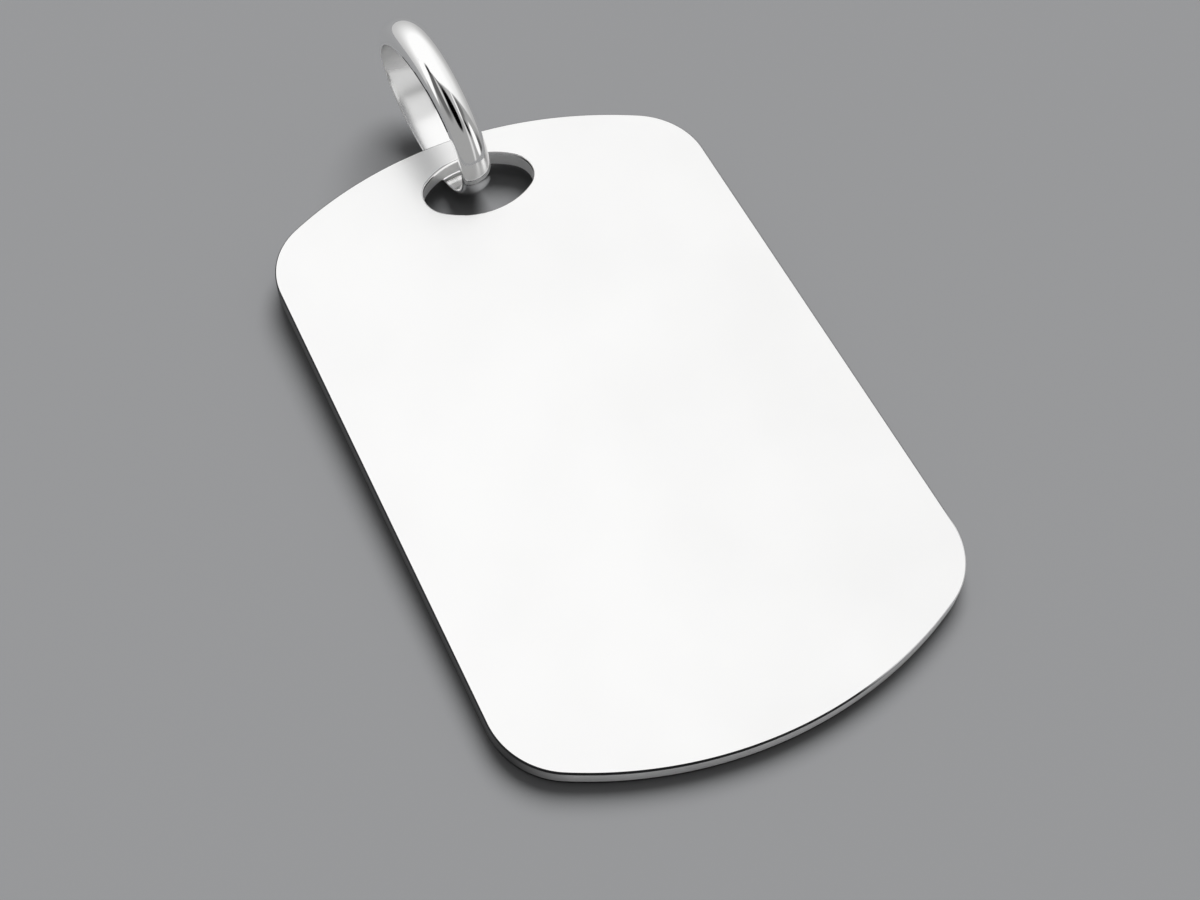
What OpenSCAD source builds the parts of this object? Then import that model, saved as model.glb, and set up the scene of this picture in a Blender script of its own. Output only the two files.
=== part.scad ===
// A plain tag pendant: a flat silver plate with an oval hole, and the oval
// bail that passes through the hole round the bridge above it.
// The plate lies with its lower end on the surface and its hole end on the
// lower bow of the bail, which stands on edge in the hole.

/* [Tag] */
// Width of the plate
tag_width = 24; // [18:0.5:32]
// Length of the plate along its middle
tag_length = 37.2; // [34:0.1:50]
// Thickness of the plate
tag_thick = 1.1; // [0.8:0.05:1.6]
// How far each arched end bows out from a straight line across the plate
end_bow = 3.7; // [2:0.1:5]
// Radius of the four corners
corner_radius = 3.95; // [2:0.05:5]

/* [Hole] */
// Width of the oval hole, across the plate
hole_width = 6.1; // [5:0.1:8]
// Height of the oval hole, along the plate
hole_height = 3.9; // [3.5:0.1:4.5]
// Radius of the oval's two narrow ends
hole_end_radius = 1.4; // [1.1:0.05:1.6]
// Metal left between the hole and the plate's upper end
bridge_height = 1.4; // [1:0.1:1.8]

/* [Bail] */
// Length of the space inside the bail
eye_length = 8.7; // [8.2:0.1:10]
// Width of the space inside the bail
eye_width = 5.3; // [4.8:0.1:6]
// Width of the band where it passes through the hole
band_low = 1.7; // [1.3:0.05:2]
// Width of the band at the top of the bail
band_top = 2.1; // [1.7:0.05:2.6]
// Height of the band's dome where it passes through the hole
dome_low = 0.45; // [0.4:0.05:0.8]
// Height of the band's dome at the top of the bail
dome_top = 1.1; // [0.8:0.05:1.4]
// Angle between the bail's long axis and the plate
bail_lean = 20; // [10:1:30]
// How far the bail is turned about the upright, towards the left
bail_turn = 5.4; // [0:0.1:8]
// How far the bail's middle is left of the plate's middle
bail_offset = 0.58; // [0:0.01:0.8]
// How far the bail's middle is above the middle of the hole, along the plate
bail_reach = 4.07; // [3.9:0.01:4.4]
// Clearance between the plate's back and the bow that it lies on
seat_gap = 0.1; // [0.05:0.01:0.2]

/* [Hidden] */

$fn = 96;

half_width = tag_width / 2;
half_length = tag_length / 2;

// The end arc runs through both sides of the plate, end_bow below its crown
end_radius = (half_width ^ 2 + end_bow ^ 2) / (2 * end_bow);
end_centre = half_length - end_radius;
// A corner touches the straight side and the end arc, so its centre is here
corner_x = half_width - corner_radius;
corner_y = end_centre + sqrt((end_radius - corner_radius) ^ 2 - corner_x ^ 2);

// The oval hole is four arcs: two narrow ends and two long flat ones
hole_y = half_length - bridge_height - hole_height / 2;
hole_end_x = hole_width / 2 - hole_end_radius;
hole_side_radius = (hole_end_x ^ 2 + (hole_height / 2) ^ 2 - hole_end_radius ^ 2)
    / (hole_height - 2 * hole_end_radius);
hole_side_y = hole_side_radius - hole_height / 2;

// The inside of the bail is an ellipse in the bail's own plane
eye_a = eye_length / 2;
eye_b = eye_width / 2;
bail_y = hole_y + bail_reach;
band_rings = 96;
dome_steps = 12;

function blend(low, top, share) = low + (top - low) * share;

// Height of the ellipse's lower bow, leaned by bail_lean, at a distance y
// along the plate from its middle
function bow_height(y) =
    let (
        c = cos(bail_lean),
        s = sin(bail_lean),
        square = (s / eye_a) ^ 2 + (c / eye_b) ^ 2,
        linear = 2 * y * s * c * (1 / eye_a ^ 2 - 1 / eye_b ^ 2),
        rest = (y * c / eye_a) ^ 2 + (y * s / eye_b) ^ 2 - 1
    )
    (-linear - sqrt(linear ^ 2 - 4 * square * rest)) / (2 * square);

// The bridge lies in the lower bow, and touches it at one of its two edges
bridge_low = hole_y + hole_height / 2 - bail_y;
bridge_top = half_length - bail_y;
bail_z = -tag_thick - seat_gap - max(bow_height(bridge_low), bow_height(bridge_top));

// A point of the band: turn goes round the bail from its top, and dome goes
// over the band from its left edge to its right one
function band_point(turn, dome) =
    let (
        share = (1 + cos(turn)) / 2,
        width = blend(band_low, band_top, share ^ 2),
        out = blend(dome_low, dome_top, share) * sin(dome),
        slope = norm([eye_b * cos(turn), eye_a * sin(turn)])
    )
    [
        -width / 2 * cos(dome),
        eye_a * cos(turn) + out * eye_b * cos(turn) / slope,
        eye_b * sin(turn) + out * eye_a * sin(turn) / slope
    ];

// The same point in the plate's frame: leaned up, turned, and moved to its seat
function seated(p) =
    let (
        y = p.y * cos(bail_lean) - p.z * sin(bail_lean),
        z = p.y * sin(bail_lean) + p.z * cos(bail_lean)
    )
    [
        p.x * cos(bail_turn) - y * sin(bail_turn) - bail_offset,
        p.x * sin(bail_turn) + y * cos(bail_turn) + bail_y,
        z + bail_z
    ];

band_points = [
    for (ring = [0 : band_rings - 1], step = [0 : dome_steps])
        seated(band_point(360 * ring / band_rings, 180 * step / dome_steps))
];

// Two triangles for each patch of the band, with the flat inner face last
band_faces = [
    for (ring = [0 : band_rings - 1], step = [0 : dome_steps])
        let (
            here = ring * (dome_steps + 1),
            next = ((ring + 1) % band_rings) * (dome_steps + 1),
            over = (step + 1) % (dome_steps + 1)
        )
        each [
            [here + step, here + over, next + over],
            [here + step, next + over, next + step]
        ]
];

// The plate tilts until the lower edge of its lower end and the bail both
// touch the surface
tilt = max([for (p = band_points) atan2(-tag_thick - p.z, p.y + half_length)]);
lift = half_length * sin(tilt) + tag_thick * cos(tilt);

// Middle of the whole pendant along the surface
near_y = -half_length * cos(tilt);
far_y = max([for (p = band_points) p.y * cos(tilt) - p.z * sin(tilt)]);
middle_y = (near_y + far_y) / 2;

// Puts what is drawn in the plate's frame down on the surface
module laid_down() {
    translate([0, -middle_y, lift])
        rotate([tilt, 0, 0])
            children();
}

// One arched end of the outline: what lies under the end arc in a fan from its
// centre out past the corners' centres, and a disc for each corner
module arched_end() {
    intersection() {
        translate([0, end_centre])
            circle(end_radius);
        translate([0, end_centre])
            polygon([
                [0, 0],
                2 * [corner_x, corner_y - end_centre],
                2 * [-corner_x, corner_y - end_centre]
            ]);
    }
    for (side = [-1, 1])
        translate([side * corner_x, corner_y])
            circle(corner_radius);
}

module tag_outline() {
    square([tag_width, 2 * corner_y], center = true);
    arched_end();
    mirror([0, 1])
        arched_end();
}

// The oval of the hole, round its own middle: a disc at each narrow end, and
// above and below them what lies under a long flat arc
module hole_outline() {
    for (side = [-1, 1])
        translate([side * hole_end_x, 0])
            circle(hole_end_radius);
    widest = hole_end_x * (hole_side_y + hole_height) / hole_side_y;
    for (turn = [0, 180])
        rotate(turn)
            intersection() {
                translate([0, -hole_side_y])
                    circle(hole_side_radius);
                polygon([
                    [-hole_end_x, 0],
                    [hole_end_x, 0],
                    [widest, hole_height],
                    [-widest, hole_height]
                ]);
            }
}

module tag() {
    color("silver")
        laid_down()
            translate([0, 0, -tag_thick])
                linear_extrude(tag_thick)
                    difference() {
                        tag_outline();
                        translate([0, hole_y])
                            hole_outline();
                    }
}

module bail() {
    color("gainsboro")
        laid_down()
            polyhedron(points = band_points, faces = band_faces, convexity = 4);
}

tag();
bail();
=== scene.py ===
import math

import bpy
import numpy as np
from mathutils import Matrix, Vector


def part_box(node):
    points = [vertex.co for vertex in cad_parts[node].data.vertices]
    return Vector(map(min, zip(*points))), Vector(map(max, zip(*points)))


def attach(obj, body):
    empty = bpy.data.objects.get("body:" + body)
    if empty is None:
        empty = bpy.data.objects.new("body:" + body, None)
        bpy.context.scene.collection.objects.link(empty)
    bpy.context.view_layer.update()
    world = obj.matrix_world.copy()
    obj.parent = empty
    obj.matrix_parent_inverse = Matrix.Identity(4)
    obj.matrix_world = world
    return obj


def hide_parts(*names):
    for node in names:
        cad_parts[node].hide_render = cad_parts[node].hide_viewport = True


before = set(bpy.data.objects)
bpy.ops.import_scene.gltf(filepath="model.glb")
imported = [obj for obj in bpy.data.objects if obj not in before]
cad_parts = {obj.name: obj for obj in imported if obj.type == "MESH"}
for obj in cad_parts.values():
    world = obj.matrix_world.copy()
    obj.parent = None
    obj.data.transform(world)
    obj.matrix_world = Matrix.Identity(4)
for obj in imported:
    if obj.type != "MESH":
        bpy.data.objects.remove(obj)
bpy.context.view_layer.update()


# The tag: one plate of sterling silver, cut from rolled sheet with an oval
# hole at its upper end. Its faces have a satin polish and its outer walls are
# matt, between two fine painted dark lines of shade, which stand in for the dark
# surroundings mirrored in its rounded edges and for the contact shadow under the
# lower edge. Its left wall is painted darker with shade. It lies face up in the bail's bow.

# All lengths are in metres
tag_width = 0.024
tag_length = 0.0372
tag_thick = 0.0011
end_bow = 0.0037
corner_radius = 0.00395
edge_radius = 0.00007

# How far below its face a dark line starts and ends on the outer wall
dark_line_starts = 0.000001
dark_line_ends = 0.00018

hole_width = 0.0061
hole_height = 0.0039
hole_end_radius = 0.0014
bridge_height = 0.0014

# The grid's fineness, and the strip beside each edge that keeps the shading of the faces flat
tag_spokes = 960
edge_steps = 8
face_guard = 0.00003

silver_colour = (0.975, 0.974, 0.97, 1)
hazed_colour = (0.965, 0.964, 0.96, 1)
# Painted shade: near-black colours for the dark lines on the tag's outer edges and along the bail's upper
# limb, which stand in for the dark surroundings mirrored in those edges and for the contact shadow under
# the tag; the second is their hazed tone
edge_shade_colour = (0.02, 0.02, 0.021, 1)
hazed_edge_shade_colour = (0.06, 0.06, 0.062, 1)
# Painted shade: the left outer wall is darkened towards this grey, standing in for the shaded floor
# mirrored in it
wall_shade_colour = (0.17, 0.17, 0.17, 1)

# The painted shade that darkens the left outer wall, and the corner where the painted dark
# line gives way to bare silver as a painted highlight: a direction out from the pendant's middle,
# and how far out that way each begins and is full
wall_shade_side = (-1, 0, 0)
wall_shade_starts = 0.0095
wall_shade_full_at = 0.0116
lit_corner = (0.6, -0.8, 0)
line_lightens_from = 0.0191
line_lightened_at = 0.0199

# The polishing marks: the turn in degrees and the stretch of each of two sets of hairlines, the
# patches of haze in a metre, and the heights of its noise at which the metal is clean and dull
hairline_sets = ((4, 0.03), (-11, 0.06))
haze_scale = 160
haze_clean_at = 0.35
haze_dull_at = 0.7


def arc_chain(arcs, count):
    """Points evenly spaced along a closed chain of arcs and straight lines, with outward normals.
    A row of arcs is centre x, centre y, radius, first bearing and last bearing in degrees, and
    the straight lines are what joins the end of one arc to the start of the next."""
    centre = arcs[:, 0:2]
    radius = arcs[:, 2]
    start = np.radians(arcs[:, 3])
    sweep = np.radians(arcs[:, 4] - arcs[:, 3])
    first = centre + radius[:, None] * np.stack([np.cos(start), np.sin(start)], 1)
    end = start + sweep
    last = centre + radius[:, None] * np.stack([np.cos(end), np.sin(end)], 1)
    line = np.linalg.norm(np.roll(first, -1, 0) - last, axis=1)
    lengths = np.stack([radius * np.abs(sweep), line], 1).ravel()
    ends = np.cumsum(lengths)
    along = np.arange(count) * ends[-1] / count
    piece = np.searchsorted(ends, along, side="right")
    share = (along - (ends - lengths)[piece]) / np.maximum(lengths[piece], 1e-12)
    arc = piece // 2
    on_line = piece % 2 == 1
    bearing = start[arc] + sweep[arc] * np.where(on_line, 1, share)
    normal = np.stack([np.cos(bearing), np.sin(bearing)], 1)
    on_arc = centre[arc] + radius[arc, None] * normal
    following = np.roll(first, -1, 0)[arc]
    between = last[arc] + (following - last[arc]) * share[:, None]
    return np.where(on_line[:, None], between, on_arc), normal


def tag_outline(count):
    """The plate's outline: an arc across each end, a corner arc tangent to it, and straight sides."""
    a = tag_width / 2
    end_radius = (a**2 + end_bow**2) / (2 * end_bow)
    end_y = tag_length / 2 - end_radius
    corner_x = a - corner_radius
    corner_y = end_y + math.sqrt((end_radius - corner_radius) ** 2 - corner_x**2)
    turn = math.degrees(math.atan2(corner_y - end_y, corner_x))
    arcs = np.array([
        [corner_x, corner_y, corner_radius, 0, turn],
        [0, end_y, end_radius, turn, 180 - turn],
        [-corner_x, corner_y, corner_radius, 180 - turn, 180],
        [-corner_x, -corner_y, corner_radius, 180, 180 + turn],
        [0, -end_y, end_radius, 180 + turn, 360 - turn],
        [corner_x, -corner_y, corner_radius, 360 - turn, 360],
    ])
    return arc_chain(arcs, count)


def hole_outline(bearings, samples=4096):
    """The oval hole round its own middle, from four tangent arcs, at the given bearings from there."""
    b = hole_height / 2
    end_x = hole_width / 2 - hole_end_radius
    side_radius = (end_x**2 + b**2 - hole_end_radius**2) / (2 * (b - hole_end_radius))
    side_y = side_radius - b
    turn = math.degrees(math.atan2(side_y, end_x))
    arcs = np.array([
        [end_x, 0, hole_end_radius, -turn, turn],
        [0, -side_y, side_radius, turn, 180 - turn],
        [-end_x, 0, hole_end_radius, 180 - turn, 180 + turn],
        [0, side_y, side_radius, 180 + turn, 360 - turn],
    ])
    points, normals = arc_chain(arcs, samples)
    seen = np.arctan2(points[:, 1], points[:, 0])
    order = np.argsort(seen)
    table = np.concatenate([points, normals], 1)[order]
    found = [np.interp(bearings, seen[order], column, period=2 * np.pi) for column in table.T]
    return np.stack(found[:2], 1), np.stack(found[2:], 1)


def tag_surface():
    """A closed sheet on two parameters. Spokes run from the hole's outline to the plate's outline,
    each at the bearing of its outer end from the hole's middle. Along a spoke the section goes
    up the hole's wall, over its edge, across the face, over the outer edge, down and back below:
    every edge is a quarter circle of edge_radius, and every wall and face is straight. With it
    goes the finish of each step of the section: 0 on the edges, 1 on the faces, 2 on the walls,
    and 3 on the dark lines, which begin on the outer edges and end on the outer walls."""
    hole_middle = np.array([0, tag_length / 2 - bridge_height - hole_height / 2])
    outer, outer_normal = tag_outline(tag_spokes)
    from_hole = outer - hole_middle
    inner, inner_normal = hole_outline(np.arctan2(from_hole[:, 1], from_hole[:, 0]))
    inner = inner + hole_middle
    angle = np.linspace(0, np.pi / 2, edge_steps + 1)
    inset = edge_radius * (1 - np.sin(angle))
    depth = edge_radius * (1 - np.cos(angle))
    guard = edge_radius + face_guard
    # From the face out over the edge and down the wall: distance in from the outline, and height
    over = np.concatenate([[guard], inset, [0, 0]])
    down = np.concatenate([[0], -depth, [-dark_line_ends, -tag_thick / 2]])
    over = np.concatenate([over, over[-2::-1]])
    down = np.concatenate([down, -tag_thick - down[-2::-1]])
    rim_out = outer[:, None] - outer_normal[:, None] * over[None, :, None]
    rim_in = inner[:, None] + inner_normal[:, None] * over[None, :, None]
    rings_out = np.concatenate([rim_out, np.broadcast_to(down, rim_out.shape[:2])[..., None]], 2)
    rings_in = np.concatenate([rim_in, np.broadcast_to(down, rim_in.shape[:2])[..., None]], 2)
    level = np.abs(np.concatenate([down, down[::-1]]) + tag_thick / 2)
    following = np.roll(level, -1)
    fallen = tag_thick / 2 - (level + following) / 2
    flat = level == following
    in_hole = np.arange(len(level)) >= len(down)
    on_wall = fallen > dark_line_ends
    on_line = fallen > dark_line_starts
    finish = np.select([flat, on_wall, in_hole, on_line], [1, 2, 0, 3], 0)
    return np.concatenate([rings_out, rings_in[:, ::-1]], 1), finish


def laid_down(points):
    """Points of the plate's own frame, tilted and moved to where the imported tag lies: the tilt is
    the one that gives the plate its packed height, and its lowest edge meets the surface."""
    low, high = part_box("tag")
    diagonal_tilt = math.asin((high.z - low.z) / math.hypot(tag_length, tag_thick))
    tilt = diagonal_tilt - math.atan2(tag_thick, tag_length)
    place = Matrix.Translation((
        0,
        low.y + tag_length / 2 * math.cos(tilt),
        low.z + tag_length / 2 * math.sin(tilt) + tag_thick * math.cos(tilt),
    )) @ Matrix.Rotation(tilt, 4, "X")
    turn = np.array(place)
    return points @ turn[:3, :3].T + turn[:3, 3]


def closed_piece(name, grid, cell_finish, finishes):
    """A mesh from a grid of points that closes on itself both ways. Each cell is one quad, and
    cell_finish holds the place of its material in finishes, for each cell or for one row."""
    rows, columns = grid.shape[:2]
    here = np.arange(rows * columns).reshape(rows, columns)
    right = np.roll(here, -1, 1)
    quads = np.stack([here, right, np.roll(right, -1, 0), np.roll(here, -1, 0)], 2).reshape(-1, 4)
    mesh = bpy.data.meshes.new(name)
    mesh.vertices.add(rows * columns)
    mesh.vertices.foreach_set("co", grid.astype(np.float32).ravel())
    mesh.loops.add(quads.size)
    mesh.loops.foreach_set("vertex_index", quads.astype(np.int32).ravel())
    mesh.polygons.add(len(quads))
    mesh.polygons.foreach_set("loop_start", np.arange(0, quads.size, 4, dtype=np.int32))
    mesh.update(calc_edges=True)
    mesh.shade_smooth()
    for finish in finishes:
        mesh.materials.append(finish)
    of_cells = np.broadcast_to(cell_finish, (rows, columns)).astype(np.int32)
    mesh.polygons.foreach_set("material_index", of_cells.ravel())
    piece = bpy.data.objects.new(name, mesh)
    bpy.context.scene.collection.objects.link(piece)
    return piece


def polishing_marks():
    """A group that turns a place on the metal into the traces of the polishing wheel: hairlines
    from two crossed stretched noises, and a slow haze where the wheel pressed less."""
    group = bpy.data.node_groups.new("polishing_marks", "ShaderNodeTree")
    place = group.interface.new_socket("Place", in_out="INPUT", socket_type="NodeSocketVector")
    place.description = "Object coordinates, whose Y runs along the marks"
    fineness = group.interface.new_socket("Fineness", in_out="INPUT", socket_type="NodeSocketFloat")
    fineness.default_value = 9000
    group.interface.new_socket("Hairlines", in_out="OUTPUT", socket_type="NodeSocketFloat")
    group.interface.new_socket("Haze", in_out="OUTPUT", socket_type="NodeSocketFloat")
    nodes = group.nodes
    links = group.links
    source = nodes.new("NodeGroupInput")
    result = nodes.new("NodeGroupOutput")
    heights = []
    for turn, stretch in hairline_sets:
        mapping = nodes.new("ShaderNodeMapping")
        mapping.inputs["Rotation"].default_value[2] = math.radians(turn)
        mapping.inputs["Scale"].default_value = (1, stretch, 1)
        links.new(source.outputs["Place"], mapping.inputs["Vector"])
        lines = nodes.new("ShaderNodeTexNoise")
        lines.inputs["Detail"].default_value = 2
        lines.inputs["Roughness"].default_value = 0.6
        links.new(mapping.outputs["Vector"], lines.inputs["Vector"])
        links.new(source.outputs["Fineness"], lines.inputs["Scale"])
        heights.append(lines.outputs["Fac"])
    both = nodes.new("ShaderNodeMath")
    both.operation = "MULTIPLY"
    links.new(heights[0], both.inputs[0])
    links.new(heights[1], both.inputs[1])
    links.new(both.outputs[0], result.inputs["Hairlines"])
    haze = nodes.new("ShaderNodeTexNoise")
    haze.inputs["Scale"].default_value = haze_scale
    haze.inputs["Detail"].default_value = 3
    links.new(source.outputs["Place"], haze.inputs["Vector"])
    links.new(haze.outputs["Fac"], result.inputs["Haze"])
    return group


marks_group = polishing_marks()


def silver(name, fineness, clean, dull, depth, colours=(silver_colour, hazed_colour)):
    """Sterling silver: a bare metal whose roughness goes from clean to dull with the haze, whose
    colour goes from the first to the second with it, and whose bump is the hairlines, depth metres
    deep and finer with a higher fineness."""
    material = bpy.data.materials.new(name)
    material.use_nodes = True
    nodes = material.node_tree.nodes
    links = material.node_tree.links
    shader = nodes["Principled BSDF"]
    shader.inputs["Metallic"].default_value = 1
    where = nodes.new("ShaderNodeTexCoord")
    marks = nodes.new("ShaderNodeGroup")
    marks.node_tree = marks_group
    marks.inputs["Fineness"].default_value = fineness
    links.new(where.outputs["Object"], marks.inputs["Place"])
    rough = nodes.new("ShaderNodeMapRange")
    rough.inputs["From Min"].default_value = haze_clean_at
    rough.inputs["From Max"].default_value = haze_dull_at
    rough.inputs["To Min"].default_value = clean
    rough.inputs["To Max"].default_value = dull
    links.new(marks.outputs["Haze"], rough.inputs["Value"])
    links.new(rough.outputs["Result"], shader.inputs["Roughness"])
    tone = nodes.new("ShaderNodeMix")
    tone.data_type = "RGBA"
    tone.inputs["A"].default_value = colours[0]
    tone.inputs["B"].default_value = colours[1]
    links.new(marks.outputs["Haze"], tone.inputs["Factor"])
    links.new(tone.outputs["Result"], shader.inputs["Base Color"])
    bump = nodes.new("ShaderNodeBump")
    bump.inputs["Strength"].default_value = 1
    bump.inputs["Distance"].default_value = depth
    links.new(marks.outputs["Hairlines"], bump.inputs["Height"])
    links.new(bump.outputs["Normal"], shader.inputs["Normal"])
    return material


def line_mask():
    """A group that turns a place on the metal into a mask: its distance out from the pendant's
    middle in a direction, as a share of the way from Starts to Full At."""
    group = bpy.data.node_groups.new("line_mask", "ShaderNodeTree")
    inputs = (("Place", "Vector"), ("Direction", "Vector"), ("Starts", "Float"), ("Full At", "Float"))
    for name, kind in inputs:
        group.interface.new_socket(name, in_out="INPUT", socket_type="NodeSocket" + kind)
    group.interface.new_socket("Mask", in_out="OUTPUT", socket_type="NodeSocketFloat")
    nodes = group.nodes
    links = group.links
    source = nodes.new("NodeGroupInput")
    result = nodes.new("NodeGroupOutput")
    way_out = nodes.new("ShaderNodeVectorMath")
    way_out.operation = "DOT_PRODUCT"
    links.new(source.outputs["Place"], way_out.inputs[0])
    links.new(source.outputs["Direction"], way_out.inputs[1])
    mask = nodes.new("ShaderNodeMapRange")
    links.new(way_out.outputs["Value"], mask.inputs["Value"])
    links.new(source.outputs["Starts"], mask.inputs["From Min"])
    links.new(source.outputs["Full At"], mask.inputs["From Max"])
    links.new(mask.outputs["Result"], result.inputs["Mask"])
    return group


line_mask_group = line_mask()


def past_a_line(material, socket, value, direction, starts, full_at):
    """Changes what feeds a socket of a silver's shader to another value, from where its place is
    starts out in a direction to where it is full_at out."""
    nodes = material.node_tree.nodes
    links = material.node_tree.links
    fed = nodes["Principled BSDF"].inputs[socket]
    before = fed.links[0].from_socket
    mask = nodes.new("ShaderNodeGroup")
    mask.node_tree = line_mask_group
    mask.inputs["Direction"].default_value = direction
    mask.inputs["Starts"].default_value = starts
    mask.inputs["Full At"].default_value = full_at
    links.new(nodes["Texture Coordinate"].outputs["Object"], mask.inputs["Place"])
    mix = nodes.new("ShaderNodeMix")
    mix.data_type = "RGBA" if fed.type == "RGBA" else "FLOAT"
    mix.inputs["B"].default_value = value
    links.new(mask.outputs["Mask"], mix.inputs["Factor"])
    links.new(before, mix.inputs["A"])
    links.new(mix.outputs["Result"], fed)


bright_edge = silver("bright_edge", fineness=9000, clean=0.05, dull=0.1, depth=0.0000001)
satin_face = silver("satin_face", fineness=9000, clean=0.3, dull=0.36, depth=0.0000002)
cut_wall = silver("cut_wall", fineness=16000, clean=0.6, dull=0.75, depth=0.0000004)
# Painted shade: the left outer wall is darkened towards a near-black grey
past_a_line(cut_wall, "Base Color", wall_shade_colour, wall_shade_side, wall_shade_starts, wall_shade_full_at)
# Painted shade: the dark lines are near-black metal in place of the dark surroundings mirrored in the
# rounded edges and the contact shadow under the lower edge
dark_line = silver("dark_line", fineness=16000, clean=0.3, dull=0.5, depth=0.0000002,
                   colours=(edge_shade_colour, hazed_edge_shade_colour))
# Painted highlight: towards the lower right corner the painted dark line turns back to bare silver, so that
# the wall there shows bright
past_a_line(dark_line, "Base Color", silver_colour, lit_corner, line_lightens_from, line_lightened_at)
tag_grid, tag_finish = tag_surface()
tag_finishes = (bright_edge, satin_face, cut_wall, dark_line)
tag = closed_piece("polished_tag", laid_down(tag_grid), tag_finish, tag_finishes)
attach(tag, "root")
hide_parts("tag")


# The bail: an oval ring of cast silver band, bright on its dome and satin
# inside, with a fine painted dark line of shade along the edges of its upper limb,
# which stands in for the dark surroundings mirrored at the edge of its dome. It
# stands on edge in the hole, and the tag's bridge lies in its lower bow.

eye_length = 0.0087
eye_width = 0.0053
band_low = 0.0017
band_top = 0.0021
dome_low = 0.00045
dome_top = 0.0011
bail_lean = math.radians(20)
bail_turn = math.radians(5.4)

# What polishing took off the dome, which keeps the round band inside the faceted solid's box
polished_off = 0.000006

# The softened corners: their height, the superellipse's power, and how much of the inner face
# lies between them
band_edge = 0.00006
edge_flatness = 10
corner_share = 0.94

# The dark lines: their share of the dome's height where they are widest, and the places round
# the eye, from its top, at which they start, are widest and end
band_line_reach = 0.2
band_line_starts = math.radians(45)
band_line_full_at = math.radians(95)
band_line_ends = math.radians(118)

# The top of the eye, rubbed matt by a chain: how far along the pendant it begins and is full
rubbed_side = (0, 1, 0)
chain_rubs_from = 0.02005
chain_rubbed_at = 0.0203
rubbed_roughness = 0.38

bail_rings = 384
dome_steps = 96


def bail_surface():
    """A closed sheet on two parameters. One goes round the ellipse of the eye, and the other round
    the band's section, which stands on the ellipse's normal: half an ellipse for the dome, over
    a superellipse only band_edge high for the flat inner face and its softened corners. The
    width and the height of the dome grow from the hole end to the top. With it goes the finish
    of each cell: 0 on the dome, 1 on the inner face, 3 on its corners, and 2 on the dark lines,
    which lie on the corners and low on the dome of the upper limb, and widen from their start to
    band_line_reach of the dome's height."""
    a = eye_length / 2
    b = eye_width / 2
    turn = np.linspace(0, 2 * np.pi, bail_rings, endpoint=False)[:, None]
    round_band = np.linspace(0, 2 * np.pi, dome_steps, endpoint=False)[None, :]
    share = (1 + np.cos(turn)) / 2
    width = band_low + (band_top - band_low) * share**2
    height = dome_low + (dome_top - dome_low) * share - polished_off
    cosine = np.cos(round_band)
    sine = np.sin(round_band)
    flat = 2 / edge_flatness
    inside = sine < 0
    across = np.where(inside, np.sign(cosine) * np.abs(cosine) ** flat, cosine)
    out_dome = band_edge + (height - band_edge) * sine
    out_flat = band_edge * (1 - np.abs(sine) ** flat)
    out = np.where(inside, out_flat, out_dome)
    slope = np.hypot(b * np.cos(turn), a * np.sin(turn))
    x = width / 2 * across
    y = a * np.cos(turn) + out * b * np.cos(turn) / slope
    z = b * np.sin(turn) + out * a * np.sin(turn) / slope
    risen = (sine + np.roll(sine, -1)) / 2
    reach = band_line_reach * np.interp(turn, [band_line_starts, band_line_full_at], [0, 1])
    # Painted shade: the dark lines along the upper limb's edges stand in for the dark surroundings mirrored
    # there
    on_line = (turn > band_line_starts) & (turn < band_line_ends) & (np.abs(risen) < reach)
    on_corner = (risen < 0) & (np.abs(across + np.roll(across, -1)) / 2 > corner_share)
    return np.stack([x, y, z], 2), np.select([on_line, on_corner, risen < 0], [2, 3, 1], 0)


def seated(points):
    """The ring leaned up, turned and tilted with the plate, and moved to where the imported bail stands."""
    stance = np.array(Matrix.Rotation(bail_turn, 3, "Z") @ Matrix.Rotation(bail_lean, 3, "X"))
    tilted = laid_down(points @ stance.T)
    low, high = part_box("bail")
    own_low = tilted.reshape(-1, 3).min(0)
    own_high = tilted.reshape(-1, 3).max(0)
    return tilted + (np.array(low) + np.array(high) - own_low - own_high) / 2


bright_dome = silver("bright_dome", fineness=7000, clean=0.04, dull=0.09, depth=0.0000001)
satin_inside = silver("satin_inside", fineness=7000, clean=0.14, dull=0.2, depth=0.0000002)
past_a_line(satin_inside, "Roughness", rubbed_roughness, rubbed_side, chain_rubs_from, chain_rubbed_at)
band_corner = silver("band_corner", fineness=7000, clean=0.45, dull=0.55, depth=0.0000002)
bail_grid, bail_finish = bail_surface()
bail_finishes = (bright_dome, satin_inside, dark_line, band_corner)
bail = closed_piece("polished_bail", seated(bail_grid), bail_finish, bail_finishes)
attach(bail, "root")
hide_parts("bail")


# The floor: a plain pale matt sheet that the pendant lies on. It is only there
# for the pictures, and is no piece of the pendant.

floor_reach = 6
floor_colour = (0.088, 0.089, 0.0912, 1)
floor_roughness = 0.75

floor_paint = bpy.data.materials.new("floor_paint")
floor_paint.use_nodes = True
floor_shader = floor_paint.node_tree.nodes["Principled BSDF"]
floor_shader.inputs["Base Color"].default_value = floor_colour
floor_shader.inputs["Roughness"].default_value = floor_roughness
floor_mesh = bpy.data.meshes.new("floor")
floor_mesh.from_pydata(
    [(-floor_reach, -floor_reach, 0), (floor_reach, -floor_reach, 0), (floor_reach, floor_reach, 0),
     (-floor_reach, floor_reach, 0)],
    [],
    [(0, 1, 2, 3)],
)
floor_mesh.materials.append(floor_paint)
floor = bpy.data.objects.new("floor", floor_mesh)
bpy.context.scene.collection.objects.link(floor)


# The camera: looks down on the pendant from the lower left, as in the photo. It
# aims at a place in the plate, along a bearing and a dip, from a distance.

view_aim = Vector((-0.00127, -0.00492, 0.001))
view_bearing = math.radians(29.31)
view_dip = math.radians(57.25)
view_distance = 0.08146
view_roll = math.radians(3.9)
view_lens = 50.86
view_sensor = 36
view_clip = 0.005

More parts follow.
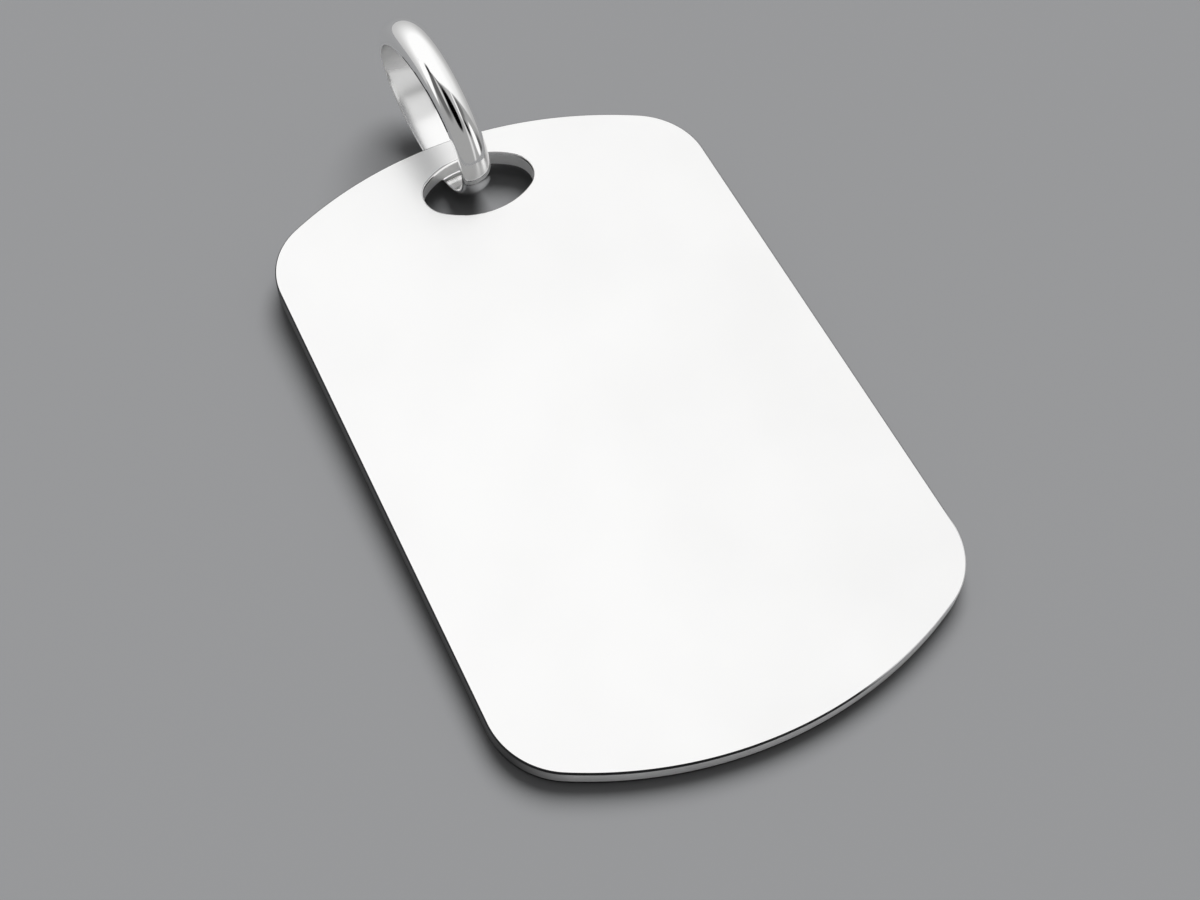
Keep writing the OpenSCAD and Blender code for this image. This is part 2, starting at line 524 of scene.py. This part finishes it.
camera = bpy.data.objects.new("camera", bpy.data.cameras.new("camera"))
bpy.context.scene.collection.objects.link(camera)
bpy.context.scene.camera = camera
view_line = Vector((
    math.sin(view_bearing) * math.cos(view_dip),
    math.cos(view_bearing) * math.cos(view_dip),
    -math.sin(view_dip),
))
camera.location = view_aim - view_line * view_distance
looking = view_line.to_track_quat("-Z", "Y").to_matrix().to_4x4()
camera.rotation_euler = (looking @ Matrix.Rotation(view_roll, 4, "Z")).to_euler()
camera.data.lens = view_lens
camera.data.sensor_width = view_sensor
camera.data.clip_start = view_clip


# The light: a large soft lamp high behind the pendant in a white tent, which
# is brightest overhead and dims towards its foot. The camera's side is a dim
# grey room, with a low window and what stands dark round the camera.

tent_front = (0.22, 0.96, 0.19)
tent_corner = (0.584, 0.781, 0.221)
tent_foot = 0.55
tent_top = 1.02
tent_dims_below = 0.643
tent_dims_as = 2.0
right_side_dimming = 0.2
room_level = 0.35
ceiling_level = 0.48

# Where each part begins and is full, as the cosine of the angle from an axis
tent_edge = (-0.01, 0.05)
right_side = (0.3, 0.85)
notch_across = (0.015, -0.025)
notch_up = (0.58, 0.67)
ceiling_right = (-0.05, 0.12)
ceiling_up = (0.7, 0.85)
card_side = (0, 0.1)

# What stands in the room, each laid over the one before: the angle of its middle from the upright, its
# azimuth, its half width, its half height and its turn in degrees, its brightness, its edge's softness
behind_the_tent = (
    ("dark open corner", 32, -108, 23, 23, 0, 0.12, 0.25),
)
before_the_tent = (
    ("left reflector", 54.4, -80.3, 9.5, 22, -26, 1.02, 0.2),
    ("streak of light", 28, -122, 4.5, 14, -56, 0.6, 0.4),
    ("dark clamp", 31.5, -76, 4.5, 5, 0, 0.0, 0.5),
    ("dark round of the camera", 31, 188.7, 10.5, 21, -34, 0.0, 0.15),
    ("dark board", 38.4, 132, 8.5, 10, 0, 0.15, 0.4),
    ("dark stand", 53, 144.5, 4.5, 9, 0, 0.0, 0.5),
    ("light strip", 70, 157, 4, 26, 9, 0.68, 0.3),
    ("upper light strip", 32.5, 142.5, 3, 13, 30, 0.9, 0.3),
    ("shade beside the window", 83, 123, 9, 10, 0, 0.1, 0.5),
    ("low window", 73, 134.4, 8.0, 18, 15, 1.0, 0.15),
)

room = bpy.data.worlds.new("room")
bpy.context.scene.world = room
room.use_nodes = True
room_nodes = room.node_tree.nodes
room_links = room.node_tree.links
looking_out = room_nodes.new("ShaderNodeTexCoord").outputs["Generated"]


def bearing(polar, azimuth):
    """The direction at an angle from the upright and an angle from +Y towards +X, in degrees."""
    polar = math.radians(polar)
    azimuth = math.radians(azimuth)
    outward = math.sin(polar)
    return Vector((outward * math.sin(azimuth), outward * math.cos(azimuth), math.cos(polar)))


def toward(axis):
    """How far a direction of the surroundings leans towards an axis: the cosine between the two."""
    node = room_nodes.new("ShaderNodeVectorMath")
    node.operation = "DOT_PRODUCT"
    room_links.new(looking_out, node.inputs[0])
    node.inputs[1].default_value = Vector(axis).normalized()
    return node.outputs["Value"]


def number(operation, *values):
    """One step of arithmetic on sockets and plain numbers."""
    node = room_nodes.new("ShaderNodeMath")
    node.operation = operation
    for socket, value in zip(node.inputs, values):
        if isinstance(value, (int, float)):
            socket.default_value = value
        else:
            room_links.new(value, socket)
    return node.outputs[0]


def change(value, start, end, low=0.0, high=1.0, way="SMOOTHSTEP"):
    """A change from low to high while a value goes from start to end, smooth at both ends or straight."""
    node = room_nodes.new("ShaderNodeMapRange")
    node.interpolation_type = way
    room_links.new(value, node.inputs["Value"])
    for name, level in (("From Min", start), ("From Max", end), ("To Min", low), ("To Max", high)):
        node.inputs[name].default_value = level
    return node.outputs["Result"]


def laid_over(below, above, mask):
    """One brightness over another where the mask is 1: below + (above - below) * mask."""
    return number("ADD", below, number("MULTIPLY", number("SUBTRACT", above, below), mask))


def card(below, polar, azimuth, half_width, half_height, turn, level, soft):
    """An oval card of one brightness: its mask falls from 1 to 0 where the direction's offsets
    across and along the card, in half widths and half heights, reach 1. Unturned, its height runs
    down towards the horizon. Nothing of it shows on the other side of the room."""
    axis = bearing(polar, azimuth)
    level_line = Vector((axis.y, -axis.x, 0)).normalized()
    down_line = axis.cross(level_line)
    turn = math.radians(turn)
    across = level_line * math.cos(turn) - down_line * math.sin(turn)
    along = down_line * math.cos(turn) + level_line * math.sin(turn)
    squares = [
        number("POWER", number("ABSOLUTE", number("DIVIDE", toward(line), math.sin(math.radians(half)))), 2)
        for line, half in ((across, half_width), (along, half_height))
    ]
    distance = number("SQRT", number("ADD", *squares))
    mask = number("MULTIPLY", change(distance, 1 + soft, 1 - soft), change(toward(axis), *card_side))
    return laid_over(below, level, mask)


height = toward((0, 0, 1))
rightward = toward((1, 0, 0))
across_front = toward(tent_front)
across_corner = toward(tent_corner)
on_ceiling = number("MULTIPLY", change(rightward, *ceiling_right), change(height, *ceiling_up))
level = laid_over(room_level, ceiling_level, on_ceiling)
for name, *places in behind_the_tent:
    level = card(level, *places)

# The tent's brightness is a power of the height, from its foot to its top, and its notch is a
# high corner that is cut away
tent = number("POWER", change(height, 0, tent_dims_below, 0, 1, "LINEAR"), tent_dims_as)
tent = number("ADD", number("MULTIPLY", tent, tent_top - tent_foot), tent_foot)
tent = number("MULTIPLY", tent, change(rightward, *right_side, 1, 1 - right_side_dimming))
notch = number("MULTIPLY", change(across_corner, *notch_across), change(height, *notch_up))
in_tent = number("MULTIPLY", change(across_front, *tent_edge), number("SUBTRACT", 1, notch))
level = laid_over(level, tent, in_tent)
for name, *places in before_the_tent:
    level = card(level, *places)
room_links.new(level, room_nodes["Background"].inputs["Color"])

# The lamp's direction in degrees, from the upright and from +Y, and how wide it is from here
lamp_from_upright = 38
lamp_azimuth = 34
lamp_angle = 40
lamp_strength = 11

lamp = bpy.data.objects.new("lamp", bpy.data.lights.new("lamp", "SUN"))
bpy.context.scene.collection.objects.link(lamp)
lamp.rotation_euler = bearing(lamp_from_upright, lamp_azimuth).to_track_quat("Z", "Y").to_euler()
lamp.data.angle = math.radians(lamp_angle)
lamp.data.energy = lamp_strength
# The metal mirrors the tent, which stands for the lamp there
lamp.visible_glossy = False
bpy.context.scene.view_settings.view_transform = "Standard"
